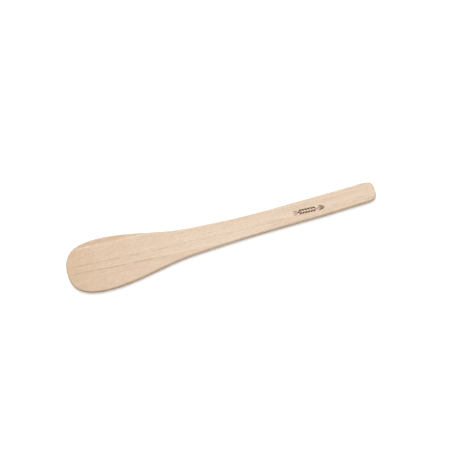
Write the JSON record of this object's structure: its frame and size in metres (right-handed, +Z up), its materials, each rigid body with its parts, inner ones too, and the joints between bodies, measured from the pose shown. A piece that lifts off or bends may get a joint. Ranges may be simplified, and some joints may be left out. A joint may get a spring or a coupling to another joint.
{
  "type": "wooden bakery spatula",
  "caption": "Flat solid-beech spatula with a broad, rounded, thinning blade, flared neck, straight flat handle with a rounded end, and a small burnt wheat ear.",
  "frame": {"origin": "on the flat underside, halfway along the stick, where its centreline passes", "axes": "+X along the stick from the blade's tip to the handle's end, +Y across the stick, +Z up through the marked face; the underside lies on Z = 0"},
  "size_m": [0.35, 0.0606, 0.007],
  "materials": {
    "beech": "bare, sanded, unoiled",
    "char": "scorched, matt"
  },
  "bodies": {
    "root": {"spatula_body": "beech", "burnt_mark": "char"}
  },
  "joints": []
}
